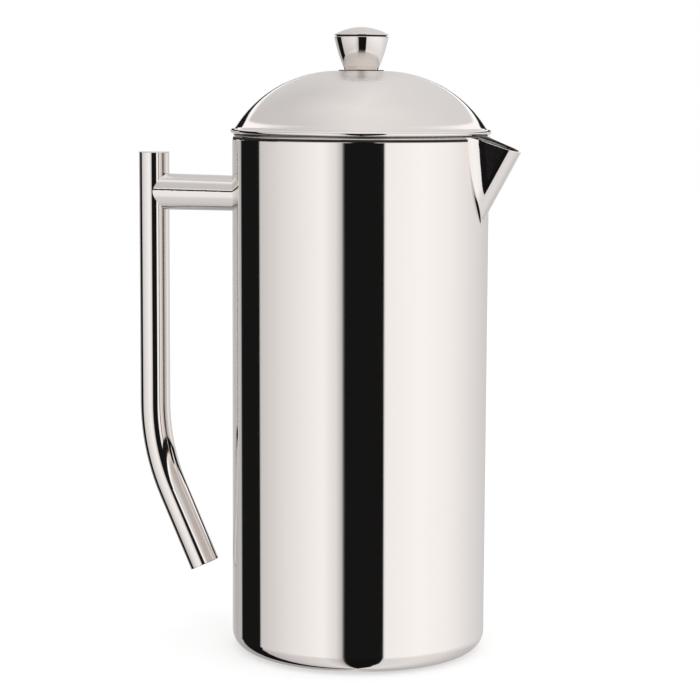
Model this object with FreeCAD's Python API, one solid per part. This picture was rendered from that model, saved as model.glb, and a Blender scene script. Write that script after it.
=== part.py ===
"""Double-walled steel coffee press: carafe, pouring spout, stand-off handle, domed lid and plunger.

Millimetres. The origin is the centre of the flat base, on the surface the press stands on.
+Z runs up the carafe's axis, +X points to the spout and the handle is on -X.
"""
import FreeCAD, Part
import math
import os

os.makedirs("parts", exist_ok=True)

V = FreeCAD.Vector
UP = V(0, 0, 1)
AXIS_Y = V(0, 1, 0)
CONTACT_TOLERANCE = 0.01

# Carafe: outer wall, inner liner, base and rim
BODY_RADIUS = 51.0
SHELL_WALL = 0.9
SHELL_TOP_Z = 204.8
BODY_EDGE_RADIUS = 7.0
SHELL_LIP_CHAMFER = 0.35
WALL_GAP = 2.7
LINER_WALL = 0.8
LINER_FLOOR_Z = 6.0
LINER_CORNER_RADIUS = 8.0
LINER_FLARE_HEIGHT = 4.2
LINER_NECK_HEIGHT = 1.8
FLARE_BEND_RADIUS = 2.2
BASE_FLANGE_WIDTH = 4.0
PORT_OFFSET = 20.0
PORT_RADIUS = 3.0
PORT_FLANGE_WIDTH = 2.0
PORT_FLANGE_THICKNESS = 0.8
PORT_RECESS = 0.3
RIM_HEIGHT = 1.5
RIM_OVERHANG = 0.4
RIM_INSET = 0.6
RIM_ROUNDING = 0.7

# Pouring spout: a V of sheet along a straight sloping keel
SPOUT_DEPTH = 33.7
SPOUT_REACH = 15.4
SPOUT_TIP_DROP = 5.8
SPOUT_HALF_WIDTH = 10.0
SPOUT_NOSE_RADIUS = 6.5
SPOUT_SHEET = 1.0
SPOUT_ROOT_FILLET = 8.0
SPOUT_RIM_DROP = 0.1
SEAM_HALF_WIDTH = 12.6
SEAM_MARGIN = 1.9
SEAM_BULGE = 2.7
SEAM_STRAIGHT_HEIGHT = 1.5

# Handle: a round grip tube that bends inwards at its foot, and an oval arm near its top
GRIP_STAND_OFF = 41.0
GRIP_DIAMETER = 12.5
GRIP_WALL = 1.2
GRIP_TOP_DROP = 7.9
GRIP_FOOT_Z = 27.9
GRIP_BEND_RADIUS = 85.0
GRIP_BEND_ANGLE = 25.5
GRIP_FOOT_LENGTH = 32.7
GRIP_CAP_THICKNESS = 1.2
GRIP_CAP_ROUNDING = 0.35
ARM_DROP = 24.3
ARM_HEIGHT_AT_GRIP = 15.1
ARM_HEIGHT_AT_BODY = 13.9
ARM_WIDTH = 11.7
ARM_WALL = 1.2

# Lid: domed shell with a rolled hem, and the skirt that centres it in the mouth
LID_WALL = 0.8
LID_GAP = 0.5
LID_OVERHANG = 0.75
HEM_RADIUS = 1.05
LID_HEIGHT = 25.3
CROWN_FLAT_MARGIN = 0.2
DOME_FLARE_RADIUS = 1.2
SKIRT_CLEARANCE = 0.35
SKIRT_WALL = 0.8
SKIRT_DEPTH = 11.0
SKIRT_BEND_RADIUS = 0.45

# Rod, its guide bush in the lid's crown, and the running clearances
ROD_RADIUS = 2.5
RUNNING_CLEARANCE = 0.05
SCREW_CLEARANCE = 0.05
BUSH_WALL = 2.5
BUSH_FLANGE_RADIUS = 9.0
BUSH_FLANGE_THICKNESS = 0.4
BUSH_LENGTH = 12.0
BUSH_WASHER_MARGIN = 0.8
BUSH_WASHER_THICKNESS = 1.0
BUSH_NUT_WALL = 2.4
BUSH_NUT_THICKNESS = 5.0

# Knob
KNOB_BASE_RADIUS = 6.6
KNOB_RIM_RADIUS = 10.75
KNOB_SIDE_HEIGHT = 13.0
KNOB_SIDE_BULGE = 0.4
KNOB_EDGE_RADIUS = 0.3
KNOB_NECK_HEIGHT = 0.6
KNOB_NECK_INSET = 0.9
KNOB_CAP_HEIGHT = 3.2
KNOB_CAP_EDGE_HEIGHT = 0.2
KNOB_CAP_EDGE_ROUNDING = 0.08
KNOB_CAP_WALL = 1.0
KNOB_CROWN_THICKNESS = 3.5
ROD_END_GAP = 0.5

# Filter at the foot of the rod
FILTER_HEIGHT = 11.4
CROSS_PLATE_MARGIN = 5.6
CROSS_PLATE_THICKNESS = 0.8
CROSS_PLATE_WINDOWS = 8
CROSS_PLATE_RIM = 4.0
CROSS_PLATE_HUB_MARGIN = 1.0
CROSS_PLATE_SPOKE = 4.5
COARSE_SCREEN_MARGIN = 3.0
COARSE_SCREEN_THICKNESS = 0.4
FINE_SCREEN_GAP = 1.0
FINE_SCREEN_THICKNESS = 0.3
SPIRAL_PLATE_THICKNESS = 0.8
SPIRAL_PLATE_LIP = 3.4
SPIRAL_PLATE_BEND = 1.2
SPIRAL_HOLE_RADIUS = 3.2
SPIRAL_RING_PITCH = 9.5
SPIRAL_HOLE_MARGIN = 2.0
SPIRAL_HOLES_IN_FIRST_RING = 6
EDGE_SPRING_RADIUS = 1.5
EDGE_SPRING_GAP = 0.1
LINER_RUBBING_GAP = 0.3
COLLAR_WALL = 3.45
COLLAR_HEIGHT = 5.0
HUB_NUT_WALL = 5.95
HUB_NUT_HEIGHT = 3.6
HUB_NUT_ROUNDING = 0.8
ROD_TAIL = 0.6

# Places that follow from the sizes above
SHELL_INNER_RADIUS = BODY_RADIUS - SHELL_WALL
LINER_OUTER_RADIUS = SHELL_INNER_RADIUS - WALL_GAP
LINER_BORE_RADIUS = LINER_OUTER_RADIUS - LINER_WALL
NECK_BORE_RADIUS = SHELL_INNER_RADIUS - LINER_WALL
BASE_RADIUS = BODY_RADIUS - BODY_EDGE_RADIUS - BASE_FLANGE_WIDTH
RIM_INNER_RADIUS = NECK_BORE_RADIUS - RIM_OVERHANG
RIM_OUTER_RADIUS = BODY_RADIUS - RIM_INSET
RIM_TOP_Z = SHELL_TOP_Z + RIM_HEIGHT
SPOUT_TOP_Z = RIM_TOP_Z - SPOUT_RIM_DROP
SPOUT_APEX_Z = RIM_TOP_Z - SPOUT_DEPTH
SPOUT_TIP_Z = RIM_TOP_Z - SPOUT_TIP_DROP
SPOUT_TIP_RADIUS = BODY_RADIUS + SPOUT_REACH
GRIP_OFFSET = BODY_RADIUS + GRIP_STAND_OFF
GRIP_TOP_Z = RIM_TOP_Z - GRIP_TOP_DROP
ARM_Z = RIM_TOP_Z - ARM_DROP
CROWN_Z = RIM_TOP_Z + LID_HEIGHT
CROWN_FLAT_RADIUS = BUSH_FLANGE_RADIUS + CROWN_FLAT_MARGIN
HEM_BOTTOM_Z = RIM_TOP_Z + LID_GAP
HEM_TOP_Z = HEM_BOTTOM_Z + 2 * HEM_RADIUS
HEM_CENTRE_RADIUS = BODY_RADIUS + LID_OVERHANG - HEM_RADIUS
KNOB_BASE_Z = CROWN_Z + BUSH_FLANGE_THICKNESS
KNOB_RIM_Z = KNOB_BASE_Z + KNOB_SIDE_HEIGHT
KNOB_NECK_TOP_Z = KNOB_RIM_Z + KNOB_NECK_HEIGHT
KNOB_NECK_RADIUS = KNOB_RIM_RADIUS - KNOB_NECK_INSET
KNOB_BORE_TOP_Z = KNOB_RIM_Z - KNOB_CROWN_THICKNESS
ROD_BORE_RADIUS = ROD_RADIUS + SCREW_CLEARANCE
BUSH_RADIUS = ROD_RADIUS + RUNNING_CLEARANCE + BUSH_WALL
BUSH_NUT_BORE_RADIUS = BUSH_RADIUS + SCREW_CLEARANCE
EDGE_SPRING_CENTRE_RADIUS = LINER_BORE_RADIUS - LINER_RUBBING_GAP - EDGE_SPRING_RADIUS
SPIRAL_PLATE_RADIUS = EDGE_SPRING_CENTRE_RADIUS - EDGE_SPRING_RADIUS - EDGE_SPRING_GAP
FINE_SCREEN_RADIUS = LINER_BORE_RADIUS - FINE_SCREEN_GAP
COARSE_SCREEN_RADIUS = FINE_SCREEN_RADIUS - COARSE_SCREEN_MARGIN
CROSS_PLATE_RADIUS = COARSE_SCREEN_RADIUS - CROSS_PLATE_MARGIN
FILTER_Z = LINER_FLOOR_Z + FILTER_HEIGHT
COARSE_SCREEN_Z = FILTER_Z + CROSS_PLATE_THICKNESS
FINE_SCREEN_Z = COARSE_SCREEN_Z + COARSE_SCREEN_THICKNESS
SPIRAL_PLATE_Z = FINE_SCREEN_Z + FINE_SCREEN_THICKNESS
COLLAR_Z = SPIRAL_PLATE_Z + SPIRAL_PLATE_THICKNESS
COLLAR_RADIUS = ROD_BORE_RADIUS + COLLAR_WALL
HUB_NUT_RADIUS = ROD_BORE_RADIUS + HUB_NUT_WALL


def save(shape, node):
    """Write one sub-part."""
    shape.exportStep("parts/" + node + ".step")


def corner_arc(before, corner, after, radius):
    """Arc of the given radius that rounds a corner, with its two tangent points."""
    to_before = (before - corner).normalize()
    to_after = (after - corner).normalize()
    half_angle = to_before.getAngle(to_after) / 2
    reach = radius / math.tan(half_angle)
    start = corner + to_before * reach
    end = corner + to_after * reach
    bisector = (to_before + to_after).normalize()
    middle = corner + bisector * (radius / math.sin(half_angle) - radius)
    return start, middle, end


def rounded_outline(corners):
    """Closed wire in the XZ plane through (x, z, rounding radius) corners."""
    points = [V(x, 0, z) for x, z, radius in corners]
    count = len(points)
    edges = []
    first_start = None
    pen = None
    for i in range(count):
        radius = corners[i][2]
        if radius > 0:
            start, middle, end = corner_arc(points[i - 1], points[i], points[(i + 1) % count], radius)
        else:
            start = points[i]
            end = points[i]
        if pen is None:
            first_start = start
        elif (start - pen).Length > 1e-6:
            edges.append(Part.LineSegment(pen, start).toShape())
        if radius > 0:
            edges.append(Part.Arc(start, middle, end).toShape())
        pen = end
    edges.append(Part.LineSegment(pen, first_start).toShape())
    return Part.Wire(edges)


def revolved(outline):
    """Solid of revolution about the Z axis, with its closing line on -X, away from the spout."""
    solid = Part.Face(outline).revolve(V(0, 0, 0), UP, 360)
    solid.rotate(V(0, 0, 0), UP, 180)
    return solid


def turned(corners):
    """Solid of revolution from an outline of (r, z, rounding) corners."""
    return revolved(rounded_outline(corners))


def ring(inner, outer, low, high):
    """Plain flat ring or, with inner 0, a disc."""
    solid = Part.makeCylinder(outer, high - low, V(0, 0, low))
    if inner > 0:
        solid = solid.cut(Part.makeCylinder(inner, high - low, V(0, 0, low)))
    return solid


def hexagon(across_flats, low, high):
    """Hexagonal prism about the Z axis."""
    reach = across_flats / math.sqrt(3)
    corners = [V(reach * math.cos(math.radians(60 * i)), reach * math.sin(math.radians(60 * i)), low)
               for i in range(7)]
    return Part.Face(Part.makePolygon(corners)).extrude(V(0, 0, high - low))


# ---------------------------------------------------------------- carafe walls

def wall_of_shell():
    """Outer wall before the spout opens it, with its rounded foot and the flange for the base."""
    inner = SHELL_INNER_RADIUS
    return turned([
        (BASE_RADIUS, 0, 0),
        (BODY_RADIUS, 0, BODY_EDGE_RADIUS),
        (BODY_RADIUS, SHELL_TOP_Z - SHELL_LIP_CHAMFER, 0),
        (BODY_RADIUS - SHELL_LIP_CHAMFER, SHELL_TOP_Z, 0),
        (inner, SHELL_TOP_Z, 0),
        (inner, SHELL_WALL, BODY_EDGE_RADIUS - SHELL_WALL),
        (BASE_RADIUS, SHELL_WALL, 0),
    ])


def wall_of_liner():
    """Inner vessel before the spout opens it, flared at the top to meet the outer wall."""
    bore = LINER_BORE_RADIUS
    outer = LINER_OUTER_RADIUS
    neck_z = SHELL_TOP_Z - LINER_NECK_HEIGHT
    flare_z = neck_z - LINER_FLARE_HEIGHT
    floor = LINER_FLOOR_Z
    return turned([
        (0, floor - LINER_WALL, 0),
        (outer, floor - LINER_WALL, LINER_CORNER_RADIUS + LINER_WALL),
        (outer, flare_z, FLARE_BEND_RADIUS),
        (SHELL_INNER_RADIUS, neck_z, FLARE_BEND_RADIUS),
        (SHELL_INNER_RADIUS, SHELL_TOP_Z, 0),
        (NECK_BORE_RADIUS, SHELL_TOP_Z, 0),
        (NECK_BORE_RADIUS, neck_z, FLARE_BEND_RADIUS),
        (bore, flare_z, FLARE_BEND_RADIUS),
        (bore, floor, LINER_CORNER_RADIUS),
        (0, floor, 0),
    ])


def whole_rim():
    """Rolled bead round the mouth before the spout breaks it."""
    return turned([
        (RIM_INNER_RADIUS, SHELL_TOP_Z, 0),
        (RIM_OUTER_RADIUS, SHELL_TOP_Z, 0),
        (RIM_OUTER_RADIUS, RIM_TOP_Z, RIM_ROUNDING),
        (RIM_INNER_RADIUS, RIM_TOP_Z, RIM_ROUNDING),
    ])


def base_plate():
    """Disc welded flush into the shell's foot, with the hole for the port plug."""
    disc = ring(0, BASE_RADIUS, 0, SHELL_WALL)
    hole = Part.makeCylinder(PORT_RADIUS, SHELL_WALL, V(PORT_OFFSET, 0, 0))
    return disc.cut(hole)


def port_plug():
    """Flanged plug that seals the space between the walls."""
    flange = Part.makeCylinder(PORT_RADIUS + PORT_FLANGE_WIDTH, PORT_FLANGE_THICKNESS,
                               V(PORT_OFFSET, 0, SHELL_WALL))
    stem = Part.makeCylinder(PORT_RADIUS, SHELL_WALL - PORT_RECESS, V(PORT_OFFSET, 0, PORT_RECESS))
    return flange.fuse(stem).removeSplitter()


# ---------------------------------------------------------------- spout

KEEL_FOOT = V(BODY_RADIUS, 0, SPOUT_APEX_Z)
KEEL_TIP = V(SPOUT_TIP_RADIUS, 0, SPOUT_TIP_Z)
KEEL_DIRECTION = (KEEL_TIP - KEEL_FOOT).normalize()
KEEL_INWARD = KEEL_DIRECTION.cross(AXIS_Y).normalize()
KEEL_TAIL = 30.0
KEEL_LENGTH = 120.0
WEDGE_DEPTH = 40.0


def rim_corner():
    """Point on the carafe's rim where one top edge of the spout begins."""
    return V(math.sqrt(BODY_RADIUS ** 2 - SPOUT_HALF_WIDTH ** 2), SPOUT_HALF_WIDTH, SPOUT_TOP_Z)


def wedge_half_angle():
    """Angle between a side of the V and its middle plane, measured square to the keel."""
    reach = rim_corner() - KEEL_FOOT
    inward = reach.dot(KEEL_INWARD) - SPOUT_NOSE_RADIUS
    distance = math.hypot(inward, SPOUT_HALF_WIDTH)
    return math.atan2(SPOUT_HALF_WIDTH, inward) - math.asin(SPOUT_NOSE_RADIUS / distance)


def wedge(inset):
    """The V as a solid prism along the keel, with its surface moved in by inset."""
    nose = SPOUT_NOSE_RADIUS - inset
    centre = KEEL_FOOT + KEEL_INWARD * SPOUT_NOSE_RADIUS - KEEL_DIRECTION * KEEL_TAIL
    angle = wedge_half_angle()
    touch_in = -nose * math.sin(angle)
    touch_side = nose * math.cos(angle)
    far_side = touch_side + (WEDGE_DEPTH - touch_in) * math.tan(angle)

    def place(inward, side):
        return centre + KEEL_INWARD * inward + AXIS_Y * side

    outline = Part.Wire([
        Part.Arc(place(touch_in, -touch_side), place(-nose, 0), place(touch_in, touch_side)).toShape(),
        Part.LineSegment(place(touch_in, touch_side), place(WEDGE_DEPTH, far_side)).toShape(),
        Part.LineSegment(place(WEDGE_DEPTH, far_side), place(WEDGE_DEPTH, -far_side)).toShape(),
        Part.LineSegment(place(WEDGE_DEPTH, -far_side), place(touch_in, -touch_side)).toShape(),
    ])
    return Part.Face(outline).extrude(KEEL_DIRECTION * KEEL_LENGTH)


def below_spout_top():
    """Space under the spout's top edges, which fall from the rim to the tip."""
    rim_x = rim_corner().x
    fall = (SPOUT_TOP_Z - SPOUT_TIP_Z) / (SPOUT_TIP_RADIUS - rim_x)
    far_x = SPOUT_TIP_RADIUS + BODY_RADIUS
    far_z = SPOUT_TOP_Z - fall * (far_x - rim_x)
    outline = Part.makePolygon([
        V(0, -BODY_RADIUS, 0),
        V(0, -BODY_RADIUS, SPOUT_TOP_Z),
        V(rim_x, -BODY_RADIUS, SPOUT_TOP_Z),
        V(far_x, -BODY_RADIUS, far_z),
        V(far_x, -BODY_RADIUS, 0),
        V(0, -BODY_RADIUS, 0),
    ])
    return Part.Face(outline).extrude(V(0, 2 * BODY_RADIUS, 0))


def seam_tongue(high):
    """Prism along X whose outline is the weld seam between the spout and the outer wall."""
    foot_z = SPOUT_APEX_Z - SEAM_MARGIN
    foot = V(0, 0, foot_z)
    bend_top_z = SHELL_TOP_Z - SEAM_STRAIGHT_HEIGHT
    near = V(0, -SEAM_HALF_WIDTH, bend_top_z)
    far = V(0, SEAM_HALF_WIDTH, bend_top_z)
    middle_z = (foot_z + bend_top_z) / 2
    middle_y = SEAM_HALF_WIDTH / 2 + SEAM_BULGE
    outline = Part.Wire([
        Part.Arc(foot, V(0, middle_y, middle_z), far).toShape(),
        Part.LineSegment(far, V(0, SEAM_HALF_WIDTH, high)).toShape(),
        Part.LineSegment(V(0, SEAM_HALF_WIDTH, high), V(0, -SEAM_HALF_WIDTH, high)).toShape(),
        Part.LineSegment(V(0, -SEAM_HALF_WIDTH, high), near).toShape(),
        Part.Arc(near, V(0, -middle_y, middle_z), foot).toShape(),
    ])
    return Part.Face(outline).extrude(V(2 * SPOUT_TIP_RADIUS, 0, 0))


def spout_with_root():
    """Solid body and V together, with the hollow root fillet between them."""
    body = Part.makeCylinder(BODY_RADIUS, CROWN_Z)
    body.rotate(V(0, 0, 0), UP, 180)
    joined = body.fuse(wedge(0).common(ring(BODY_RADIUS / 2, 2 * SPOUT_TIP_RADIUS, 0, CROWN_Z)))
    edges = []
    for edge in joined.Edges:
        middle = edge.valueAt((edge.FirstParameter + edge.LastParameter) / 2)
        on_wall = abs(math.hypot(middle.x, middle.y) - BODY_RADIUS) < CONTACT_TOLERANCE
        between_ends = SPOUT_APEX_Z - SEAM_MARGIN < middle.z < CROWN_Z - CONTACT_TOLERANCE
        if on_wall and between_ends and middle.x > 0:
            edges.append(edge)
    return joined.makeFillet(SPOUT_ROOT_FILLET, edges)


def pouring_spout():
    """Sheet V with its throat between the walls and its root along the weld seam."""
    outside = spout_with_root().cut(Part.makeCylinder(SHELL_INNER_RADIUS, 2 * CROWN_Z, V(0, 0, 0)))
    outside = outside.common(seam_tongue(2 * CROWN_Z)).cut(whole_rim().cut(wedge(0)))
    throat = wedge(0).common(ring(LINER_BORE_RADIUS, SHELL_INNER_RADIUS, 0, CROWN_Z))
    sheet = outside.fuse(throat).cut(wedge(SPOUT_SHEET))
    return sheet.common(below_spout_top()).removeSplitter()


# ---------------------------------------------------------------- handle

def foot_direction():
    """Direction of the grip's foot, down and in towards the body."""
    angle = math.radians(GRIP_BEND_ANGLE)
    return V(math.sin(angle), 0, -math.cos(angle))


def grip_points():
    """Centre line of the grip below its top cap: straight, bend, straight foot."""
    angle = math.radians(GRIP_BEND_ANGLE)
    radius = GRIP_BEND_RADIUS
    bend_start_z = GRIP_FOOT_Z + GRIP_FOOT_LENGTH * math.cos(angle) + radius * math.sin(angle)
    top = V(-GRIP_OFFSET, 0, GRIP_TOP_Z - GRIP_CAP_THICKNESS)
    bend_start = V(-GRIP_OFFSET, 0, bend_start_z)
    bend_middle = bend_start + V(radius * (1 - math.cos(angle / 2)), 0, -radius * math.sin(angle / 2))
    bend_end = bend_start + V(radius * (1 - math.cos(angle)), 0, -radius * math.sin(angle))
    foot = bend_end + foot_direction() * GRIP_FOOT_LENGTH
    return top, bend_start, bend_middle, bend_end, foot


def grip_bar(radius):
    """Solid round bar along the grip's centre line."""
    top, bend_start, bend_middle, bend_end, foot = grip_points()
    path = Part.Wire([
        Part.LineSegment(top, bend_start).toShape(),
        Part.Arc(bend_start, bend_middle, bend_end).toShape(),
        Part.LineSegment(bend_end, foot).toShape(),
    ])
    section = Part.Wire([Part.Circle(top, UP, radius).toShape()])
    return path.makePipeShell([section], True, False)


def handle_grip():
    """Grip tube, open at both ends under its caps."""
    return grip_bar(GRIP_DIAMETER / 2).cut(grip_bar(GRIP_DIAMETER / 2 - GRIP_WALL))


def grip_cap(centre, direction):
    """Flat disc welded on an end of the grip, with its outer edge eased."""
    radius = GRIP_DIAMETER / 2
    disc = Part.makeCylinder(radius, GRIP_CAP_THICKNESS, centre, direction)
    outer_face = centre + direction * GRIP_CAP_THICKNESS
    edges = [edge for edge in disc.Edges
             if edge.Closed and (edge.CenterOfMass - outer_face).Length < GRIP_CAP_THICKNESS / 2]
    return disc.makeFillet(GRIP_CAP_ROUNDING, edges)


def oval(x, height, width):
    """Upright oval in the plane at x, centred on the arm's line."""
    centre = V(x, 0, ARM_Z)
    ellipse = Part.Ellipse(centre + V(0, 0, height / 2), centre + V(0, width / 2, 0), centre)
    return Part.Wire([ellipse.toShape()])


def arm_bar(inset):
    """Solid oval bar from the grip's centre line to inside the carafe's wall."""
    start = oval(-GRIP_OFFSET, ARM_HEIGHT_AT_GRIP - 2 * inset, ARM_WIDTH - 2 * inset)
    end = oval(-BODY_RADIUS / 2, ARM_HEIGHT_AT_BODY - 2 * inset, ARM_WIDTH - 2 * inset)
    return Part.makeLoft([start, end], True, True)


def handle_arm():
    """Oval tube, saddle-cut to fit round the grip and the carafe."""
    tube = arm_bar(0).cut(arm_bar(ARM_WALL))
    tube = tube.cut(Part.makeCylinder(GRIP_DIAMETER / 2, CROWN_Z, V(-GRIP_OFFSET, 0, 0)))
    tube = tube.cut(Part.makeCylinder(BODY_RADIUS, CROWN_Z, V(0, 0, 0)))
    return tube


# ---------------------------------------------------------------- lid

def lid_dome():
    """Domed shell: flat crown, one long arc, a small flare and the rolled hem."""
    rise = CROWN_Z - HEM_TOP_Z
    run = HEM_CENTRE_RADIUS - CROWN_FLAT_RADIUS
    sweep = 2 * math.atan2(rise, run)
    dome_radius = run / math.sin(sweep) - DOME_FLARE_RADIUS
    centre = V(CROWN_FLAT_RADIUS, 0, CROWN_Z - dome_radius)
    hole = BUSH_RADIUS + RUNNING_CLEARANCE

    def on_dome(radius, angle):
        return centre + V(radius * math.sin(angle), 0, radius * math.cos(angle))

    def on_flare(angle):
        middle = on_dome(dome_radius + DOME_FLARE_RADIUS, sweep)
        return middle - V(DOME_FLARE_RADIUS * math.sin(angle), 0, DOME_FLARE_RADIUS * math.cos(angle))

    inner = dome_radius - LID_WALL
    crown = V(hole, 0, CROWN_Z)
    crown_edge = on_dome(dome_radius, 0)
    dome_foot = on_dome(dome_radius, sweep)
    hem_top = V(HEM_CENTRE_RADIUS, 0, HEM_TOP_Z)
    hem_side = V(HEM_CENTRE_RADIUS + HEM_RADIUS, 0, HEM_TOP_Z - HEM_RADIUS)
    hem_bottom = V(HEM_CENTRE_RADIUS, 0, HEM_BOTTOM_Z)
    inner_foot = on_dome(inner, sweep)
    inner_bottom = V(inner_foot.x, 0, HEM_BOTTOM_Z)
    inner_crown_edge = on_dome(inner, 0)
    inner_crown = V(hole, 0, CROWN_Z - LID_WALL)
    outline = Part.Wire([
        Part.LineSegment(crown, crown_edge).toShape(),
        Part.Arc(crown_edge, on_dome(dome_radius, sweep / 2), dome_foot).toShape(),
        Part.Arc(dome_foot, on_flare(sweep / 2), hem_top).toShape(),
        Part.Arc(hem_top, hem_side, hem_bottom).toShape(),
        Part.LineSegment(hem_bottom, inner_bottom).toShape(),
        Part.LineSegment(inner_bottom, inner_foot).toShape(),
        Part.Arc(inner_foot, on_dome(inner, sweep / 2), inner_crown_edge).toShape(),
        Part.LineSegment(inner_crown_edge, inner_crown).toShape(),
        Part.LineSegment(inner_crown, crown).toShape(),
    ])
    return revolved(outline)


def lid_skirt():
    """Flanged ring under the lid: the flange rests on the rim, the ring drops into the mouth."""
    outer = LINER_BORE_RADIUS - SKIRT_CLEARANCE
    inner = outer - SKIRT_WALL
    low = HEM_BOTTOM_Z - SKIRT_DEPTH
    return turned([
        (inner, low, SKIRT_WALL / 3),
        (outer, low, SKIRT_WALL / 3),
        (outer, RIM_TOP_Z, SKIRT_BEND_RADIUS),
        (RIM_OUTER_RADIUS, RIM_TOP_Z, 0),
        (RIM_OUTER_RADIUS, HEM_BOTTOM_Z, 0),
        (inner, HEM_BOTTOM_Z, SKIRT_BEND_RADIUS),
    ])


def guide_bush():
    """Flanged bush that the rod runs in; the knob comes to rest on its flange."""
    flange = turned([
        (0, CROWN_Z, 0),
        (BUSH_FLANGE_RADIUS, CROWN_Z, 0),
        (BUSH_FLANGE_RADIUS, KNOB_BASE_Z, BUSH_FLANGE_THICKNESS / 2),
        (0, KNOB_BASE_Z, 0),
    ])
    stem = Part.makeCylinder(BUSH_RADIUS, BUSH_LENGTH, V(0, 0, CROWN_Z - BUSH_LENGTH))
    bore = Part.makeCylinder(ROD_RADIUS + RUNNING_CLEARANCE, 2 * BUSH_LENGTH, V(0, 0, CROWN_Z - BUSH_LENGTH))
    return flange.fuse(stem).cut(bore).removeSplitter()


def bush_washer():
    """Washer between the lid's crown and the bush nut."""
    top = CROWN_Z - LID_WALL
    radius = CROWN_FLAT_RADIUS - BUSH_WASHER_MARGIN
    return ring(BUSH_NUT_BORE_RADIUS, radius, top - BUSH_WASHER_THICKNESS, top)


def bush_nut():
    """Hexagon nut that clamps the bush to the lid's crown."""
    top = CROWN_Z - LID_WALL - BUSH_WASHER_THICKNESS
    low = top - BUSH_NUT_THICKNESS
    across_flats = 2 * (BUSH_NUT_BORE_RADIUS + BUSH_NUT_WALL)
    return hexagon(across_flats, low, top).cut(ring(0, BUSH_NUT_BORE_RADIUS, low, top))


# ---------------------------------------------------------------- plunger

def plunger_rod():
    """Straight rod from the knob down through the filter."""
    low = FILTER_Z - HUB_NUT_HEIGHT - ROD_TAIL
    high = KNOB_BORE_TOP_Z - ROD_END_GAP
    return Part.makeCylinder(ROD_RADIUS, high - low, V(0, 0, low))


def circles_of(solid, *radii):
    """Round edges of a turned solid that have one of the given radii."""
    return [edge for edge in solid.Edges
            if min(abs(edge.Length - 2 * math.pi * radius) for radius in radii) < CONTACT_TOLERANCE]


def knob_body():
    """Turned knob, widening upwards on a slightly full curve, with a short neck and a bore for the rod."""
    low = KNOB_BASE_Z
    high = KNOB_RIM_Z
    middle_radius = (KNOB_BASE_RADIUS + KNOB_RIM_RADIUS) / 2 + KNOB_SIDE_BULGE
    outline = Part.Wire([
        Part.LineSegment(V(0, 0, low), V(KNOB_BASE_RADIUS, 0, low)).toShape(),
        Part.Arc(V(KNOB_BASE_RADIUS, 0, low), V(middle_radius, 0, (low + high) / 2),
                 V(KNOB_RIM_RADIUS, 0, high)).toShape(),
        Part.LineSegment(V(KNOB_RIM_RADIUS, 0, high), V(KNOB_NECK_RADIUS, 0, high)).toShape(),
        Part.LineSegment(V(KNOB_NECK_RADIUS, 0, high), V(KNOB_NECK_RADIUS, 0, KNOB_NECK_TOP_Z)).toShape(),
        Part.LineSegment(V(KNOB_NECK_RADIUS, 0, KNOB_NECK_TOP_Z), V(0, 0, KNOB_NECK_TOP_Z)).toShape(),
        Part.LineSegment(V(0, 0, KNOB_NECK_TOP_Z), V(0, 0, low)).toShape(),
    ])
    solid = revolved(outline)
    solid = solid.makeFillet(KNOB_EDGE_RADIUS, circles_of(solid, KNOB_BASE_RADIUS, KNOB_RIM_RADIUS))
    return solid.cut(ring(0, ROD_BORE_RADIUS, low, KNOB_BORE_TOP_Z))


def knob_cap():
    """Domed shell with a short upright edge, seated on the knob's neck."""
    low = KNOB_NECK_TOP_Z
    edge_z = low + KNOB_CAP_EDGE_HEIGHT
    rise = KNOB_CAP_HEIGHT - KNOB_CAP_EDGE_HEIGHT
    outer = (KNOB_RIM_RADIUS ** 2 + rise ** 2) / (2 * rise)
    inner = outer - KNOB_CAP_WALL
    centre_z = edge_z + rise - outer

    def on_dome(radius, level, share):
        angle = share * math.acos((level - centre_z) / radius)
        return V(radius * math.sin(angle), 0, centre_z + radius * math.cos(angle))

    foot = on_dome(inner, low, 1)
    outline = Part.Wire([
        Part.Arc(on_dome(outer, edge_z, 0), on_dome(outer, edge_z, 0.5), on_dome(outer, edge_z, 1)).toShape(),
        Part.LineSegment(on_dome(outer, edge_z, 1), V(KNOB_RIM_RADIUS, 0, low)).toShape(),
        Part.LineSegment(V(KNOB_RIM_RADIUS, 0, low), foot).toShape(),
        Part.Arc(foot, on_dome(inner, low, 0.5), on_dome(inner, low, 0)).toShape(),
        Part.LineSegment(on_dome(inner, low, 0), on_dome(outer, edge_z, 0)).toShape(),
    ])
    solid = revolved(outline)
    return solid.makeFillet(KNOB_CAP_EDGE_ROUNDING, circles_of(solid, KNOB_RIM_RADIUS))


def stop_collar():
    """Collar fixed on the rod, which the filter is screwed up against."""
    high = COLLAR_Z + COLLAR_HEIGHT
    return turned([
        (ROD_BORE_RADIUS, COLLAR_Z, 0),
        (COLLAR_RADIUS, COLLAR_Z, 0),
        (COLLAR_RADIUS, high, COLLAR_RADIUS / 4),
        (ROD_BORE_RADIUS, high, 0),
    ])


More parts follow.
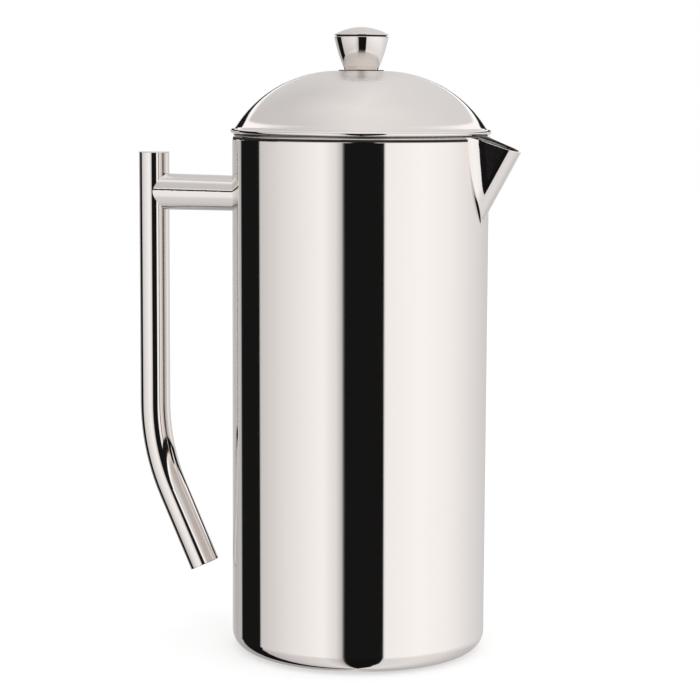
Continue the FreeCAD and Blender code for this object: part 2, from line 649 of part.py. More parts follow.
def spiral_plate():
    """Top plate of the filter, with a turned-up lip and rings of round holes."""
    low = SPIRAL_PLATE_Z
    high = low + SPIRAL_PLATE_THICKNESS
    outer = SPIRAL_PLATE_RADIUS
    inner = outer - SPIRAL_PLATE_THICKNESS
    plate = turned([
        (ROD_BORE_RADIUS, low, 0),
        (outer, low, SPIRAL_PLATE_BEND),
        (outer, low + SPIRAL_PLATE_LIP, 0),
        (inner, low + SPIRAL_PLATE_LIP, 0),
        (inner, high, SPIRAL_PLATE_BEND - SPIRAL_PLATE_THICKNESS),
        (ROD_BORE_RADIUS, high, 0),
    ])
    holes = []
    first = COLLAR_RADIUS + SPIRAL_HOLE_RADIUS + SPIRAL_HOLE_MARGIN
    last = inner - SPIRAL_HOLE_RADIUS - SPIRAL_HOLE_MARGIN
    rings = int((last - first) / SPIRAL_RING_PITCH) + 1
    for step in range(rings):
        radius = last - (rings - 1 - step) * SPIRAL_RING_PITCH
        count = SPIRAL_HOLES_IN_FIRST_RING * (step + 1)
        for i in range(count):
            angle = 2 * math.pi * i / count
            place = V(radius * math.cos(angle), radius * math.sin(angle), low)
            holes.append(Part.makeCylinder(SPIRAL_HOLE_RADIUS, SPIRAL_PLATE_THICKNESS, place))
    return plate.cut(holes)


def edge_spring():
    """Envelope of the close-wound spring round the filter, which wipes the liner."""
    height = SPIRAL_PLATE_Z + EDGE_SPRING_GAP + EDGE_SPRING_RADIUS
    return Part.makeTorus(EDGE_SPRING_CENTRE_RADIUS, EDGE_SPRING_RADIUS, V(0, 0, height))


def fine_screen():
    """Fine mesh disc, with its hole for the rod."""
    return ring(ROD_BORE_RADIUS, FINE_SCREEN_RADIUS, FINE_SCREEN_Z, FINE_SCREEN_Z + FINE_SCREEN_THICKNESS)


def coarse_screen():
    """Coarser mesh disc under the fine one."""
    return ring(ROD_BORE_RADIUS, COARSE_SCREEN_RADIUS, COARSE_SCREEN_Z, FINE_SCREEN_Z)


def cross_plate():
    """Spoked plate that carries the screens."""
    plate = ring(ROD_BORE_RADIUS, CROSS_PLATE_RADIUS, FILTER_Z, COARSE_SCREEN_Z)
    hub = HUB_NUT_RADIUS + CROSS_PLATE_HUB_MARGIN
    windows = ring(hub, CROSS_PLATE_RADIUS - CROSS_PLATE_RIM, FILTER_Z, COARSE_SCREEN_Z)
    for i in range(CROSS_PLATE_WINDOWS):
        spoke = Part.makeBox(CROSS_PLATE_RADIUS, CROSS_PLATE_SPOKE, CROSS_PLATE_THICKNESS,
                             V(0, -CROSS_PLATE_SPOKE / 2, FILTER_Z))
        spoke.rotate(V(0, 0, 0), UP, 360 * i / CROSS_PLATE_WINDOWS)
        windows = windows.cut(spoke)
    return plate.cut(windows)


def hub_nut():
    """Round nut on the rod's end that holds the filter together."""
    low = FILTER_Z - HUB_NUT_HEIGHT
    return turned([
        (ROD_BORE_RADIUS, low, 0),
        (HUB_NUT_RADIUS, low, HUB_NUT_ROUNDING),
        (HUB_NUT_RADIUS, FILTER_Z, 0),
        (ROD_BORE_RADIUS, FILTER_Z, 0),
    ])


def build():
    """Make and write every sub-part."""
    spout_solid = wedge(0)
    tongue = seam_tongue(2 * CROWN_Z)
    save(wall_of_shell().cut(tongue), "outer_shell")
    save(wall_of_liner().cut(spout_solid), "inner_liner")
    save(whole_rim().cut(spout_solid), "rim_ring")
    save(base_plate(), "base_plate")
    save(port_plug(), "port_plug")
    save(pouring_spout(), "pouring_spout")

    grip_line = grip_points()
    save(handle_grip(), "handle_grip")
    save(grip_cap(grip_line[0], UP), "grip_top_cap")
    save(grip_cap(grip_line[-1], foot_direction()), "grip_bottom_cap")
    save(handle_arm(), "handle_arm")

    save(lid_dome(), "lid_dome")
    save(lid_skirt(), "lid_skirt")
    save(guide_bush(), "guide_bush")
    save(bush_washer(), "bush_washer")
    save(bush_nut(), "bush_nut")

    save(plunger_rod(), "plunger_rod")
    save(knob_body(), "knob_body")
    save(knob_cap(), "knob_cap")
    save(stop_collar(), "stop_collar")
    save(spiral_plate(), "spiral_plate")
    save(edge_spring(), "edge_spring")
    save(fine_screen(), "fine_screen")
    save(coarse_screen(), "coarse_screen")
    save(cross_plate(), "cross_plate")
    save(hub_nut(), "hub_nut")


build()
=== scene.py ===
import math

import bpy
from mathutils import Matrix, Vector


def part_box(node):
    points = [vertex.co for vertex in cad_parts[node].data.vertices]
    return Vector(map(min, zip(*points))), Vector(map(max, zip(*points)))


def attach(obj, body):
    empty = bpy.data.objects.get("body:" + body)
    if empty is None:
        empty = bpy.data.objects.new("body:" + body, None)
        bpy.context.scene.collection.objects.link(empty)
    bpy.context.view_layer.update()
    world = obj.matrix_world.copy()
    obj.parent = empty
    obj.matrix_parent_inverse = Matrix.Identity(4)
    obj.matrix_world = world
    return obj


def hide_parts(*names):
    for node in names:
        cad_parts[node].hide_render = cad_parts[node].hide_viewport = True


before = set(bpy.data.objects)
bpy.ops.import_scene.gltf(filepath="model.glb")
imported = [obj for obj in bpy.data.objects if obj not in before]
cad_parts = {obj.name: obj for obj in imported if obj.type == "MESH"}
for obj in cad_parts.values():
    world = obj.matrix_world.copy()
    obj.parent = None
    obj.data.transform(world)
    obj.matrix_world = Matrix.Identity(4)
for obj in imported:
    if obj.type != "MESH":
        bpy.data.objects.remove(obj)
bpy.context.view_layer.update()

# ---------------------------------------------------------------- view and studio, metres and degrees
VIEW_AZIMUTH = 22.0
VIEW_DISTANCE = 0.868
VIEW_HEIGHT = 0.2249
VIEW_PITCH = 6.86
VIEW_ROLL = 0.34
LENS = 112.0
SENSOR = 36.0
SHIFT_X = -0.0137

BACKDROP = (1.0, 1.0, 1.0, 1.0)
WORLD_SAMPLING = 1024
FLOOR_SIDES = 96
FLOOR_COLOUR = (0.93, 0.93, 0.93, 1.0)
FLOOR_GLOW = 0.42
FLOOR_ROUGHNESS = 0.9
FLOOR_RADIUS = 4.0
FLOOR_DROP = 0.0001

# The studio round the object, by heading in degrees from the camera's side: brightness near the horizon.
HORIZON_LEVELS = (
    (-180.0, 0.95),
    (-168.0, 0.62),
    (-150.0, 0.48),
    (-135.5, 0.55),
    (-134.0, 0.009),
    (-102.5, 0.009),
    (-101.0, 0.66),
    (-70.0, 0.86),
    (-34.0, 1.04),
    (-22.0, 0.84),
    (-16.2, 0.50),
    (-15.2, 0.009),
    (20.2, 0.009),
    (21.2, 1.0),
    (55.0, 1.08),
    (85.0, 1.02),
    (115.0, 0.86),
    (145.0, 0.72),
    (168.0, 0.62),
    (180.0, 0.95),
)
# Top of the dark gap above the horizon panels, in degrees, by heading to either side of the camera.
HORIZON_TOP = 5.5
GAP_TOPS = (
    (0.0, 12.0),
    (95.0, 12.0),
    (125.0, 17.0),
    (150.0, 17.0),
    (162.0, 13.0),
    (174.0, 9.0),
    (180.0, 8.0),
)
GAP_LEVEL = 0.01
# Brightness of the overhead panel by degrees above the gap, and its share by heading.
OVERHEAD_LEVELS = (
    (0.0, 1.3),
    (2.0, 1.2),
    (5.0, 0.74),
    (45.0, 0.80),
    (80.0, 0.90),
)
OVERHEAD_SHARES = (
    (-180.0, 0.95),
    (-140.0, 0.80),
    (-60.0, 0.80),
    (0.0, 0.98),
    (140.0, 0.94),
    (180.0, 0.95),
)
BAND_SLANT = 0.17
LOWEST_SLANT = -15.0
EDGE_BLUR = 0.5
ZENITH_START = 50.0
ZENITH_END = 85.0
ZENITH_LEVEL = 0.93
LOW_SHADE = 0.78
LOW_START = -17.0
LOW_END = -28.0
# A curved light strip, seen only in the foot of the lid's dome: slopes of the dome that mirror it.
STRIP_SLOPES = (56.5, 57.8, 59.0, 67.0)
STRIP_LEVEL = 1.02

# ---------------------------------------------------------------- metals
POLISHED_DARK = (0.86, 0.805, 0.775, 1.0)
POLISHED_LIGHT = (0.885, 0.84, 0.815, 1.0)
SATIN_DARK = (0.60, 0.585, 0.57, 1.0)
SATIN_LIGHT = (0.70, 0.685, 0.67, 1.0)
ROD_DARK = (0.70, 0.685, 0.67, 1.0)
ROD_LIGHT = (0.77, 0.755, 0.74, 1.0)
WIRE_DARK = (0.6, 0.59, 0.575, 1.0)
WIRE_LIGHT = (0.74, 0.73, 0.715, 1.0)
MESH_DARK = (0.5, 0.49, 0.475, 1.0)
MESH_LIGHT = (0.68, 0.67, 0.655, 1.0)
# Near-black colours of the painted shade laid in grooves, gaps and on the flange's edge.
PAINTED_SHADE_DARK = (0.03, 0.028, 0.025, 1.0)
PAINTED_SHADE_LIGHT = (0.10, 0.09, 0.08, 1.0)
WEAR_LOW = 0.35
WEAR_HIGH = 0.7
HANDLED_CORE = 0.55
EDGE_DEPTH = 0.00012
FINE_PITCH = 0.0003
COARSE_PITCH = 0.0009
WEAVE_RELIEF = 0.25
WEAVE_CROSSING = 0.25
HANDLED_RADIUS = 0.036
HANDLED_ROUGHNESS = 0.40
# The lid's steel is painted brighter than the body's by this factor: painted light.
LID_PAINTED_BRIGHTNESS = 1.08

# ---------------------------------------------------------------- sizes of the rebuilt pieces, metres
CROWN_MARGIN = 0.0002
BUSH_HOLE = 0.0051
HEM_RADIUS = 0.00105
FLARE_RADIUS = 0.0012
LID_WALL = 0.0008
BEAD_WIDTH = 0.0015
BEAD_ROUNDING = 0.0007
BEAD_TUCK = 0.006
WIRE_RADIUS = 0.00022
WIRE_PITCH = 0.00062
WIRE_STEPS = 14
WIRE_SIDES = 6
GROOVE_HEIGHT = 0.0006
GROOVE_INSET = 0.0009
GROOVE_SKIN = 0.00004
# Sizes of the painted shade lines round the mouth.
SHADE_LINE_RISE = 0.0008
SHADE_LINE_SKIN = 0.0001
SHADE_LINE_WIDTH = 0.0004
ROUND_STEPS = 256
DOME_STEPS = 40
BEND_STEPS = 10
HEM_STEPS = 24
SAME_POINT = 1e-7
CORNER_ANGLE = 35.0


# ---------------------------------------------------------------- node helpers
def grey(level):
    return (level, level, level, 1.0)


class Nodes:
    """Short calls for building one node tree."""

    def __init__(self, tree):
        self.tree = tree
        self.tree.nodes.clear()

    def add(self, kind, **values):
        node = self.tree.nodes.new("ShaderNode" + kind)
        for name, value in values.items():
            setattr(node, name, value)
        return node

    def link(self, source, target):
        self.tree.links.new(source, target)

    def split(self, vector):
        """The three numbers of a vector."""
        node = self.add("SeparateXYZ")
        self.link(vector, node.inputs[0])
        return node.outputs

    def feed(self, socket, value):
        """Links a socket to another one, or sets it where value is a number or colour."""
        if isinstance(value, bpy.types.NodeSocket):
            self.tree.links.new(value, socket)
        else:
            socket.default_value = value

    def math(self, operation, *values):
        node = self.add("Math", operation=operation)
        for socket, value in zip(node.inputs, values):
            self.feed(socket, value)
        return node.outputs[0]

    def mix(self, factor, first, second):
        node = self.add("Mix", data_type="RGBA")
        self.feed(node.inputs[0], factor)
        self.feed(node.inputs[6], first)
        self.feed(node.inputs[7], second)
        return node.outputs[2]

    def scale(self, value, low, high, to_low, to_high):
        node = self.add("MapRange")
        for name, number in (("From Min", low), ("From Max", high), ("To Min", to_low), ("To Max", to_high)):
            node.inputs[name].default_value = number
        self.feed(node.inputs["Value"], value)
        return node.outputs["Result"]

    def ramp(self, value, stops):
        """A grey ramp through (position from 0 to 1, level) stops."""
        node = self.add("ValToRGB")
        elements = node.color_ramp.elements
        while len(elements) < len(stops):
            elements.new(0.5)
        for element, (position, level) in zip(elements, stops):
            element.position = position
            element.color = (level, level, level, 1.0)
        self.feed(node.inputs["Fac"], value)
        return node.outputs["Color"]

    def noise(self, vector, scale, detail=2.0, roughness=0.5):
        node = self.add("TexNoise")
        self.feed(node.inputs["Vector"], vector)
        node.inputs["Scale"].default_value = scale
        node.inputs["Detail"].default_value = detail
        node.inputs["Roughness"].default_value = roughness
        return node.outputs["Fac"]

    def stretch(self, vector, scale):
        node = self.add("Mapping")
        self.feed(node.inputs["Vector"], vector)
        node.inputs["Scale"].default_value = scale
        return node.outputs["Vector"]


# ---------------------------------------------------------------- camera, floor and light
def make_camera():
    around = math.radians(VIEW_AZIMUTH)
    data = bpy.data.cameras.new("view_camera")
    data.lens = LENS
    data.sensor_width = SENSOR
    data.shift_x = SHIFT_X
    camera = bpy.data.objects.new("view_camera", data)
    bpy.context.scene.collection.objects.link(camera)
    turn = Matrix.Rotation(around, 4, "Z")
    tilt = Matrix.Rotation(math.radians(90.0 - VIEW_PITCH), 4, "X")
    roll = Matrix.Rotation(math.radians(VIEW_ROLL), 4, "Z")
    place = Matrix.Translation((VIEW_DISTANCE * math.sin(around), -VIEW_DISTANCE * math.cos(around), VIEW_HEIGHT))
    camera.matrix_world = place @ turn @ tilt @ roll
    bpy.context.scene.camera = camera


def make_floor():
    """A wide pale table top, a hair below the pot's foot. The polished metal doesn't mirror it, as if the
    pot stood on a narrow plinth."""
    mesh = bpy.data.meshes.new("floor")
    angles = [2 * math.pi * i / FLOOR_SIDES for i in range(FLOOR_SIDES)]
    corners = [(FLOOR_RADIUS * math.cos(a), FLOOR_RADIUS * math.sin(a), -FLOOR_DROP) for a in angles]
    mesh.from_pydata(corners, [], [tuple(range(FLOOR_SIDES))])
    floor = bpy.data.objects.new("floor", mesh)
    bpy.context.scene.collection.objects.link(floor)
    material = bpy.data.materials.new("floor_white")
    material.use_nodes = True
    nodes = Nodes(material.node_tree)
    shader = nodes.add("BsdfPrincipled")
    shader.inputs["Base Color"].default_value = FLOOR_COLOUR
    shader.inputs["Roughness"].default_value = FLOOR_ROUGHNESS
    shader.inputs["Specular IOR Level"].default_value = 0.0
    shader.inputs["Emission Color"].default_value = BACKDROP
    shader.inputs["Emission Strength"].default_value = FLOOR_GLOW
    output = nodes.add("OutputMaterial")
    nodes.link(shader.outputs[0], output.inputs["Surface"])
    mesh.materials.append(material)
    floor.visible_glossy = False


def light_strip(nodes, direction, above_gap):
    """Share of a long curved strip light overhead, which a steep ring round the lid's dome mirrors."""
    around = math.radians(VIEW_AZIMUTH)
    halfway = nodes.add("VectorMath", operation="ADD")
    nodes.link(direction, halfway.inputs[0])
    halfway.inputs[1].default_value = (math.sin(around), -math.cos(around), 0.0)
    unit = nodes.add("VectorMath", operation="NORMALIZE")
    nodes.link(halfway.outputs[0], unit.inputs[0])
    upright = nodes.split(unit.outputs[0])[2]
    slope = nodes.math("MULTIPLY", nodes.math("ARCCOSINE", upright), 180.0 / math.pi)
    lower, low, high, upper = STRIP_SLOPES
    begun = nodes.scale(slope, lower, low, 0.0, 1.0)
    ended = nodes.scale(slope, high, upper, 1.0, 0.0)
    return nodes.math("MULTIPLY", nodes.math("MULTIPLY", begun, ended), above_gap)


def make_studio():
    """Soft light from all round with dark gaps between its panels, as bright steel needs."""
    world = bpy.data.worlds.new("studio")
    bpy.context.scene.world = world
    world.use_nodes = True
    nodes = Nodes(world.node_tree)
    direction = nodes.add("TexCoord").outputs["Generated"]
    x, y, z = nodes.split(direction)
    elevation = nodes.math("MULTIPLY", nodes.math("ARCSINE", z), 180.0 / math.pi)
    heading = nodes.math("MULTIPLY", nodes.math("ARCTAN2", x, nodes.math("MULTIPLY", y, -1.0)), 180.0 / math.pi)
    lean = nodes.math("MULTIPLY", nodes.math("MAXIMUM", elevation, LOWEST_SLANT), BAND_SLANT)
    leaned = nodes.math("ADD", heading, lean)
    turned = nodes.math("SUBTRACT", leaned, VIEW_AZIMUTH)
    wrapped = nodes.math("WRAP", turned, 180.0, -180.0)
    whole_turn = nodes.math("DIVIDE", nodes.math("ADD", wrapped, 180.0), 360.0)
    horizon = nodes.ramp(whole_turn, [((a + 180.0) / 360.0, level) for a, level in HORIZON_LEVELS])
    share = nodes.ramp(whole_turn, [((a + 180.0) / 360.0, level) for a, level in OVERHEAD_SHARES])
    aside = nodes.math("DIVIDE", nodes.math("ABSOLUTE", wrapped), 180.0)
    gap_top = nodes.ramp(aside, [(a / 180.0, top / 90.0) for a, top in GAP_TOPS])
    over_gap = nodes.math("SUBTRACT", elevation, nodes.math("MULTIPLY", gap_top, 90.0))
    overhead = nodes.ramp(nodes.math("DIVIDE", over_gap, 90.0), [(a / 90.0, level) for a, level in OVERHEAD_LEVELS])
    zenith = nodes.scale(elevation, ZENITH_START, ZENITH_END, 0.0, 1.0)
    even_share = nodes.mix(zenith, share, grey(ZENITH_LEVEL))
    shared = nodes.math("MULTIPLY", overhead, even_share)
    above_horizon = nodes.scale(elevation, HORIZON_TOP - EDGE_BLUR, HORIZON_TOP + EDGE_BLUR, 0.0, 1.0)
    above_gap = nodes.scale(over_gap, -EDGE_BLUR, EDGE_BLUR, 0.0, 1.0)
    panels = nodes.mix(above_horizon, horizon, grey(GAP_LEVEL))
    low = nodes.scale(elevation, LOW_END, LOW_START, LOW_SHADE, 1.0)
    panels = nodes.mix(above_gap, nodes.math("MULTIPLY", low, panels), shared)
    strip = light_strip(nodes, direction, above_gap)
    panels = nodes.mix(strip, panels, grey(STRIP_LEVEL))
    camera_ray = nodes.add("LightPath").outputs["Is Camera Ray"]
    seen = nodes.mix(camera_ray, panels, BACKDROP)
    shader = nodes.add("Background")
    nodes.link(seen, shader.inputs["Color"])
    output = nodes.add("OutputWorld")
    nodes.link(shader.outputs[0], output.inputs["Surface"])
    world.cycles.sampling_method = "MANUAL"
    world.cycles.sample_map_resolution = WORLD_SAMPLING


# ---------------------------------------------------------------- metals
def new_metal(name, colour, roughness):
    material = bpy.data.materials.new(name)
    material.use_nodes = True
    nodes = Nodes(material.node_tree)
    shader = nodes.add("BsdfPrincipled")
    shader.inputs["Base Color"].default_value = colour
    shader.inputs["Metallic"].default_value = 1.0
    shader.inputs["Roughness"].default_value = roughness
    output = nodes.add("OutputMaterial")
    nodes.link(shader.outputs[0], output.inputs["Surface"])
    place = nodes.add("TexCoord").outputs["Object"]
    return material, nodes, shader, place


def round_place(nodes, place):
    """The place as (distance from the pot's axis, nothing, height), so that a pattern runs in rings."""
    x, y, z = nodes.split(place)
    square = nodes.math("ADD", nodes.math("MULTIPLY", x, x), nodes.math("MULTIPLY", y, y))
    joined = nodes.add("CombineXYZ")
    nodes.feed(joined.inputs[0], nodes.math("SQRT", square))
    nodes.feed(joined.inputs[2], z)
    return joined.outputs[0]


def add_bump(nodes, shader, height, depth, strength=1.0):
    """Relief of the given depth in metres."""
    bump = nodes.add("Bump")
    bump.inputs["Strength"].default_value = strength
    bump.inputs["Distance"].default_value = depth
    nodes.link(height, bump.inputs["Height"])
    nodes.link(bump.outputs["Normal"], shader.inputs["Normal"])


def polished_steel(name="polished_steel", handled_radius=0.0, brightness=1.0, shade_edge_radius=0.0):
    """Mirror-polished stainless steel: slight waves in the sheet, buffing haze, hairlines and dull specks.
    Within handled_radius of the pot's axis it is duller, where fingers rub it. Its colour can be scaled brighter, a
    painted light for a more brightly lit copy, and at a given radius from the axis a turned edge is painted
    near-black: painted shade."""
    material, nodes, shader, place = new_metal(name, POLISHED_LIGHT, 0.03)
    haze = nodes.noise(nodes.stretch(place, (1.0, 1.0, 0.3)), 45.0, 3.0, 0.6)
    hairlines = nodes.noise(round_place(nodes, place), 3500.0, 2.0, 0.8)
    specks = nodes.noise(place, 900.0, 2.0, 0.5)
    worn = nodes.math("ADD", nodes.math("MULTIPLY", haze, 0.55), nodes.math("MULTIPLY", hairlines, 0.3))
    worn = nodes.math("ADD", worn, nodes.math("MULTIPLY", specks, 0.15))
    roughness = nodes.scale(worn, WEAR_LOW, WEAR_HIGH, 0.015, 0.075)
    if handled_radius:
        distance = nodes.split(round_place(nodes, place))[0]
        core = handled_radius * HANDLED_CORE
        dull = nodes.scale(distance, core, handled_radius, HANDLED_ROUGHNESS, 0.0)
        roughness = nodes.math("ADD", roughness, dull)
    nodes.feed(shader.inputs["Roughness"], roughness)
    # Colours scaled by the brightness factor; above 1 this is a painted brightening.
    darker, lighter = [tuple(level * brightness for level in colour[:3]) + (1.0,)
                       for colour in (POLISHED_DARK, POLISHED_LIGHT)]
    colour = nodes.mix(haze, darker, lighter)
    # Painted shade: a near-black ring at the turned edge.
    if shade_edge_radius:
        distance = nodes.split(round_place(nodes, place))[0]
        edge = nodes.scale(distance, shade_edge_radius - EDGE_DEPTH, shade_edge_radius - EDGE_DEPTH / 3, 0.0, 1.0)
        colour = nodes.mix(edge, colour, PAINTED_SHADE_DARK)
    nodes.feed(shader.inputs["Base Color"], colour)
    waves = nodes.noise(nodes.stretch(place, (1.0, 1.0, 0.4)), 14.0, 1.0)
    add_bump(nodes, shader, waves, 0.0004, 0.08)
    return material


def satin_steel():
    """Spun and brushed stainless steel: fine rings and a soft broken sheen."""
    material, nodes, shader, place = new_metal("satin_steel", SATIN_LIGHT, 0.3)
    rings = nodes.noise(round_place(nodes, place), 2600.0, 3.0, 0.7)
    stains = nodes.noise(place, 38.0, 4.0, 0.6)
    nodes.feed(shader.inputs["Roughness"], nodes.scale(nodes.math("ADD", rings, stains), 0.7, 1.3, 0.20, 0.40))
    nodes.feed(shader.inputs["Base Color"], nodes.mix(stains, SATIN_DARK, SATIN_LIGHT))
    shader.inputs["Anisotropic"].default_value = 0.45
    tangent = nodes.add("Tangent", direction_type="RADIAL", axis="Z")
    nodes.link(tangent.outputs[0], shader.inputs["Tangent"])
    add_bump(nodes, shader, rings, 0.00002)
    return material


def rod_steel():
    """Centreless-ground rod: bright, with very fine rings and faint rubbing marks along its length."""
    material, nodes, shader, place = new_metal("rod_steel", ROD_LIGHT, 0.12)
    rings = nodes.noise(nodes.stretch(place, (0.2, 0.2, 1.0)), 5200.0, 2.0, 0.6)
    rubbing = nodes.noise(nodes.stretch(place, (1.0, 1.0, 0.03)), 1400.0, 2.0, 0.5)
    nodes.feed(shader.inputs["Roughness"], nodes.scale(nodes.math("ADD", rings, rubbing), 0.7, 1.3, 0.07, 0.2))
    nodes.feed(shader.inputs["Base Color"], nodes.mix(rubbing, ROD_DARK, ROD_LIGHT))
    add_bump(nodes, shader, rings, 0.00001)
    return material


def spring_steel():
    """Drawn wire: bright, with faint die lines and a slightly darker skin in places."""
    material, nodes, shader, place = new_metal("spring_steel", WIRE_LIGHT, 0.2)
    skin = nodes.noise(place, 260.0, 3.0, 0.6)
    nodes.feed(shader.inputs["Roughness"], nodes.scale(skin, 0.3, WEAR_HIGH, 0.14, 0.3))
    nodes.feed(shader.inputs["Base Color"], nodes.mix(skin, WIRE_DARK, WIRE_LIGHT))
    add_bump(nodes, shader, nodes.noise(place, 4000.0), 0.00001)
    return material


def woven_mesh(name, pitch):
    """Plain-woven wire cloth: two crossing sets of wires, each passing over and under the other."""
    material, nodes, shader, place = new_metal(name, MESH_LIGHT, 0.3)
    x, y, _ = nodes.split(place)
    turn = math.pi / pitch
    across = nodes.math("MULTIPLY", x, turn)
    along = nodes.math("MULTIPLY", y, turn)
    wire_x = nodes.math("ABSOLUTE", nodes.math("SINE", across))
    wire_y = nodes.math("ABSOLUTE", nodes.math("SINE", along))
    weave = nodes.math("MULTIPLY", nodes.math("COSINE", across), nodes.math("COSINE", along))
    crossing = nodes.math("MULTIPLY", weave, WEAVE_CROSSING)
    height = nodes.math("MAXIMUM", nodes.math("ADD", wire_x, crossing), nodes.math("SUBTRACT", wire_y, crossing))
    wire = nodes.scale(height, 0.45, 0.72, 0.0, 1.0)
    wear = nodes.noise(place, 120.0, 3.0, 0.6)
    metal = nodes.mix(wear, MESH_DARK, MESH_LIGHT)
    # The openings between the wires are painted near-black: painted shade seen through the cloth.
    nodes.feed(shader.inputs["Base Color"], nodes.mix(wire, grey(0.02), metal))
    nodes.feed(shader.inputs["Roughness"], nodes.scale(wear, 0.3, WEAR_HIGH, 0.22, 0.42))
    add_bump(nodes, shader, height, pitch * WEAVE_RELIEF)
    return material


def painted_shade_steel():
    """Near-black steel laid in grooves and gaps: painted shade, matt and uneven."""
    material, nodes, shader, place = new_metal("painted_shade_steel", PAINTED_SHADE_LIGHT, 0.6)
    # A noise mottles the painted shade between its two dark levels, and its roughness.
    painted_shade = nodes.noise(place, 700.0, 4.0, 0.7)
    nodes.feed(shader.inputs["Base Color"], nodes.mix(painted_shade, PAINTED_SHADE_DARK, PAINTED_SHADE_LIGHT))
    nodes.feed(shader.inputs["Roughness"], nodes.scale(painted_shade, 0.3, WEAR_HIGH, 0.5, 0.75))
    add_bump(nodes, shader, painted_shade, 0.00003)
    return material


def paint_nodes(finishes):
    """Gives every carried-over sub-part the full finish of its slot."""
    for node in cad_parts.values():
        for place in node.material_slots:
            place.material = finishes[place.material.name.split(".")[0]]


# ---------------------------------------------------------------- smooth turned pieces
def arc(centre, radius, start, end, steps):
    """Points (r, z) round a centre, from one angle to another. Angles are in radians up from +r."""
    return [(centre[0] + radius * math.cos(start + (end - start) * i / steps),
             centre[1] + radius * math.sin(start + (end - start) * i / steps)) for i in range(steps + 1)]


def without_repeats(points):
    kept = []
    for point in points:
        if not kept or math.dist(point, kept[-1]) > SAME_POINT:
            kept.append(point)
    if math.dist(kept[0], kept[-1]) < SAME_POINT:
        kept.pop()
    return kept


def finish_mesh(mesh, corner_angle):
    mesh.validate()
    mesh.shade_smooth()
    mesh.set_sharp_from_angle(angle=math.radians(corner_angle))


def place_piece(mesh, name, body, material, nodes=()):
    """Shows a mesh as a piece on a body, standing for CAD nodes where it has them."""
    mesh.name = name
    piece = bpy.data.objects.new(name, mesh)
    bpy.context.scene.collection.objects.link(piece)
    mesh.materials.append(material)
    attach(piece, body)
    if nodes:
        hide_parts(*nodes)
    return piece


def lathe(outline, steps, start=0.0, sweep=2 * math.pi):
    """Mesh of a closed (r, z) outline turned about the Z axis, whole or from start through sweep."""
    outline = without_repeats(outline)
    whole = sweep > 2 * math.pi - 1e-6
    columns = steps if whole else steps + 1
    corners = []
    for column in range(columns):
        angle = start + sweep * column / steps
        corners += [(r * math.cos(angle), r * math.sin(angle), z) for r, z in outline]
    count = len(outline)
    faces = []
    for column in range(steps):
        here = column * count
        there = (column + 1) % columns * count
        for i in range(count):
            j = (i + 1) % count
            faces.append((here + i, there + i, there + j, here + j))
    if not whole:
        faces.append(tuple(range(count)))
        faces.append(tuple(reversed(range(steps * count, steps * count + count))))
    mesh = bpy.data.meshes.new("lathe")
    mesh.from_pydata(corners, [], faces)
    finish_mesh(mesh, CORNER_ANGLE)
    return mesh


def make_lid_dome():
    """The lid's shell: flat crown, one long arc, flare and rolled hem, as the CAD lid is built."""
    low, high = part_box("lid_dome")
    crown_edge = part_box("guide_bush")[1].x + CROWN_MARGIN
    hole = BUSH_HOLE
    hem_centre = high.x - HEM_RADIUS
    hem_top = low.z + 2 * HEM_RADIUS
    rise = high.z - hem_top
    run = hem_centre - crown_edge
    sweep = 2 * math.atan2(rise, run)
    outer = run / math.sin(sweep) - FLARE_RADIUS
    centre = (crown_edge, high.z - outer)
    foot_angle = math.pi / 2 - sweep
    far = outer + FLARE_RADIUS
    flare_centre = (centre[0] + far * math.cos(foot_angle), centre[1] + far * math.sin(foot_angle))
    inner = outer - LID_WALL
    inner_foot = centre[0] + inner * math.cos(foot_angle)
    outline = [(hole, high.z)]
    outline += arc(centre, outer, math.pi / 2, foot_angle, DOME_STEPS)
    outline += arc(flare_centre, FLARE_RADIUS, foot_angle + math.pi, 1.5 * math.pi, BEND_STEPS)
    outline += arc((hem_centre, low.z + HEM_RADIUS), HEM_RADIUS, math.pi / 2, -math.pi / 2, HEM_STEPS)
    outline += [(inner_foot, low.z)]
    outline += arc(centre, inner, foot_angle, math.pi / 2, DOME_STEPS)
    outline += [(hole, high.z - LID_WALL)]
    # The lid's shell gets a brighter copy of the polished steel: painted light.
    place_piece(lathe(outline, ROUND_STEPS), "lid_shell", "lid",
                polished_steel("lid_polish", HANDLED_RADIUS, LID_PAINTED_BRIGHTNESS), ["lid_dome"])


def make_rim_bead(finishes):
    """The bead round the mouth, from one side of the spout to the other."""
    low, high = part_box("rim_ring")
    outer = -low.x
    gap = math.acos(high.x / outer) - BEAD_TUCK
    inner = outer - BEAD_WIDTH
    outline = [(inner, low.z), (outer, low.z)]
    outline += arc((outer - BEAD_ROUNDING, high.z - BEAD_ROUNDING), BEAD_ROUNDING, 0, math.pi / 2, BEND_STEPS)
    corner = (inner + BEAD_ROUNDING, high.z - BEAD_ROUNDING)
    outline += arc(corner, BEAD_ROUNDING, math.pi / 2, math.pi, BEND_STEPS)
    mesh = lathe(outline, ROUND_STEPS, gap, 2 * math.pi - 2 * gap)
    place_piece(mesh, "rim_bead", "carafe", finishes["polished_steel"], ["rim_ring"])


def make_knob_groove_shade(painted_shade):
    """Near-black skin of the knob's neck, under the cap's edge: painted shade in the groove."""
    cap_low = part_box("knob_cap")[0].z
    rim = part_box("knob_body")[1].x
    neck = rim - GROOVE_INSET
    outline = [
        (neck - GROOVE_SKIN, cap_low - GROOVE_HEIGHT),
        (rim - 4 * GROOVE_SKIN, cap_low - GROOVE_HEIGHT),
        (neck + 2 * GROOVE_SKIN, cap_low - GROOVE_HEIGHT + 2 * GROOVE_SKIN),
        (neck + 2 * GROOVE_SKIN, cap_low - 2 * GROOVE_SKIN),
        (rim - 4 * GROOVE_SKIN, cap_low - GROOVE_SKIN),
        (rim - 4 * GROOVE_SKIN, cap_low),
        (neck - GROOVE_SKIN, cap_low),
    ]
    place_piece(lathe(outline, ROUND_STEPS), "knob_groove", "plunger", painted_shade)


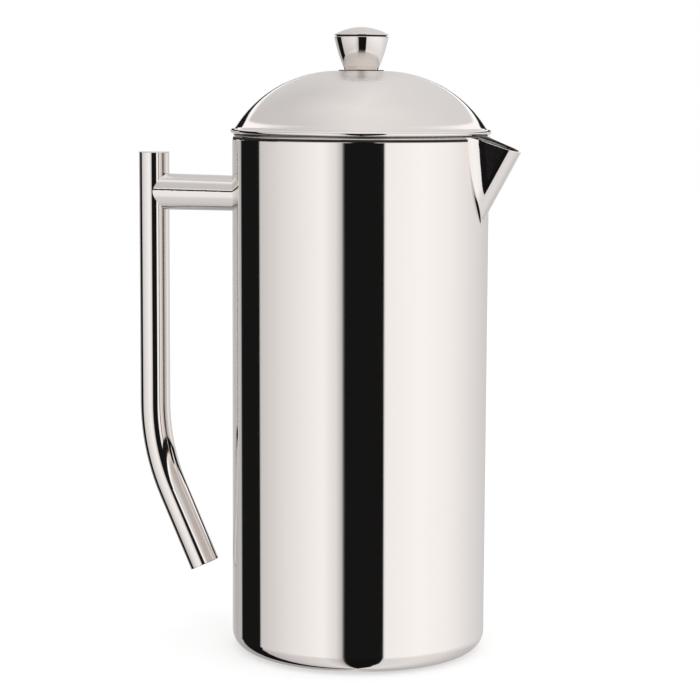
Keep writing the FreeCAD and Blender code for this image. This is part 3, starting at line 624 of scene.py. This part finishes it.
def make_mouth_shade_lines(painted_shade):
    """Near-black lines round the mouth, painted shade: one in the gap under the lid's rolled hem, and one in the
    crease at the bead's foot.
    """
    hem_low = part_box("lid_dome")[0].z
    bead_low, bead_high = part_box("rim_ring")
    bead = -bead_low.x
    hem_shade_line = [
        (bead - SHADE_LINE_WIDTH, bead_high.z + SHADE_LINE_SKIN),
        (bead, bead_high.z + SHADE_LINE_SKIN),
        (bead + SHADE_LINE_SKIN, hem_low),
        (bead - SHADE_LINE_WIDTH, hem_low),
    ]
    place_piece(lathe(hem_shade_line, ROUND_STEPS), "hem_shade_line", "lid", painted_shade)
    gap = math.acos(bead_high.x / bead) - BEAD_TUCK
    bead_shade_line = [
        (bead - SHADE_LINE_SKIN, bead_low.z),
        (bead + SHADE_LINE_WIDTH, bead_low.z),
        (bead + SHADE_LINE_WIDTH, bead_low.z + SHADE_LINE_SKIN),
        (bead + SHADE_LINE_SKIN, bead_low.z + SHADE_LINE_RISE),
        (bead - SHADE_LINE_SKIN, bead_low.z + SHADE_LINE_RISE),
    ]
    mesh = lathe(bead_shade_line, ROUND_STEPS, gap, 2 * math.pi - 2 * gap)
    place_piece(mesh, "bead_shade_line", "carafe", painted_shade)


def make_edge_spring(finishes):
    """The filter's edge spring as it is wound: a close coil of round wire bent into a ring."""
    low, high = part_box("edge_spring")
    coil = (high.z - low.z) / 2
    ring = high.x - coil
    centre_z = (high.z + low.z) / 2
    wind = coil - WIRE_RADIUS
    turns = int(2 * math.pi * (ring - wind) / WIRE_PITCH)
    steps = turns * WIRE_STEPS
    corners = []
    faces = []
    for i in range(steps):
        share = i / steps
        turn = 2 * math.pi * share
        winding = turn * turns
        outward = Vector((math.cos(turn), math.sin(turn), 0))
        away = outward * math.cos(winding) + Vector((0, 0, math.sin(winding)))
        middle = outward * ring + Vector((0, 0, centre_z)) + away * wind
        forward = Vector((-math.sin(turn), math.cos(turn), 0)) * (ring + wind * math.cos(winding))
        forward += (Vector((0, 0, math.cos(winding))) - outward * math.sin(winding)) * wind * turns
        forward.normalize()
        side = forward.cross(away).normalized()
        for k in range(WIRE_SIDES):
            angle = 2 * math.pi * k / WIRE_SIDES
            corners.append(middle + (away * math.cos(angle) + side * math.sin(angle)) * WIRE_RADIUS)
            here = i * WIRE_SIDES
            there = (i + 1) % steps * WIRE_SIDES
            n = (k + 1) % WIRE_SIDES
            faces.append((here + k, here + n, there + n, there + k))
    mesh = bpy.data.meshes.new("edge_coil")
    mesh.from_pydata(corners, [], faces)
    finish_mesh(mesh, 180)
    place_piece(mesh, "edge_coil", "plunger", finishes["spring_steel"], ["edge_spring"])


finishes = {
    "polished_steel": polished_steel(),
    "satin_steel": satin_steel(),
    "rod_steel": rod_steel(),
    "spring_steel": spring_steel(),
    "fine_mesh": woven_mesh("fine_mesh", FINE_PITCH),
    "coarse_mesh": woven_mesh("coarse_mesh", COARSE_PITCH),
}
paint_nodes(finishes)
make_lid_dome()
make_rim_bead(finishes)
make_edge_spring(finishes)
painted_shade = painted_shade_steel()
make_knob_groove_shade(painted_shade)
make_mouth_shade_lines(painted_shade)
# The guide bush's flange edge is painted near-black: painted shade at its edge.
flange = polished_steel("flange_steel", shade_edge_radius=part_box("guide_bush")[1].x)
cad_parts["guide_bush"].material_slots[0].material = flange
make_camera()
make_floor()
make_studio()

scene = bpy.context.scene
scene.view_settings.view_transform = "Standard"
scene.view_settings.look = "None"
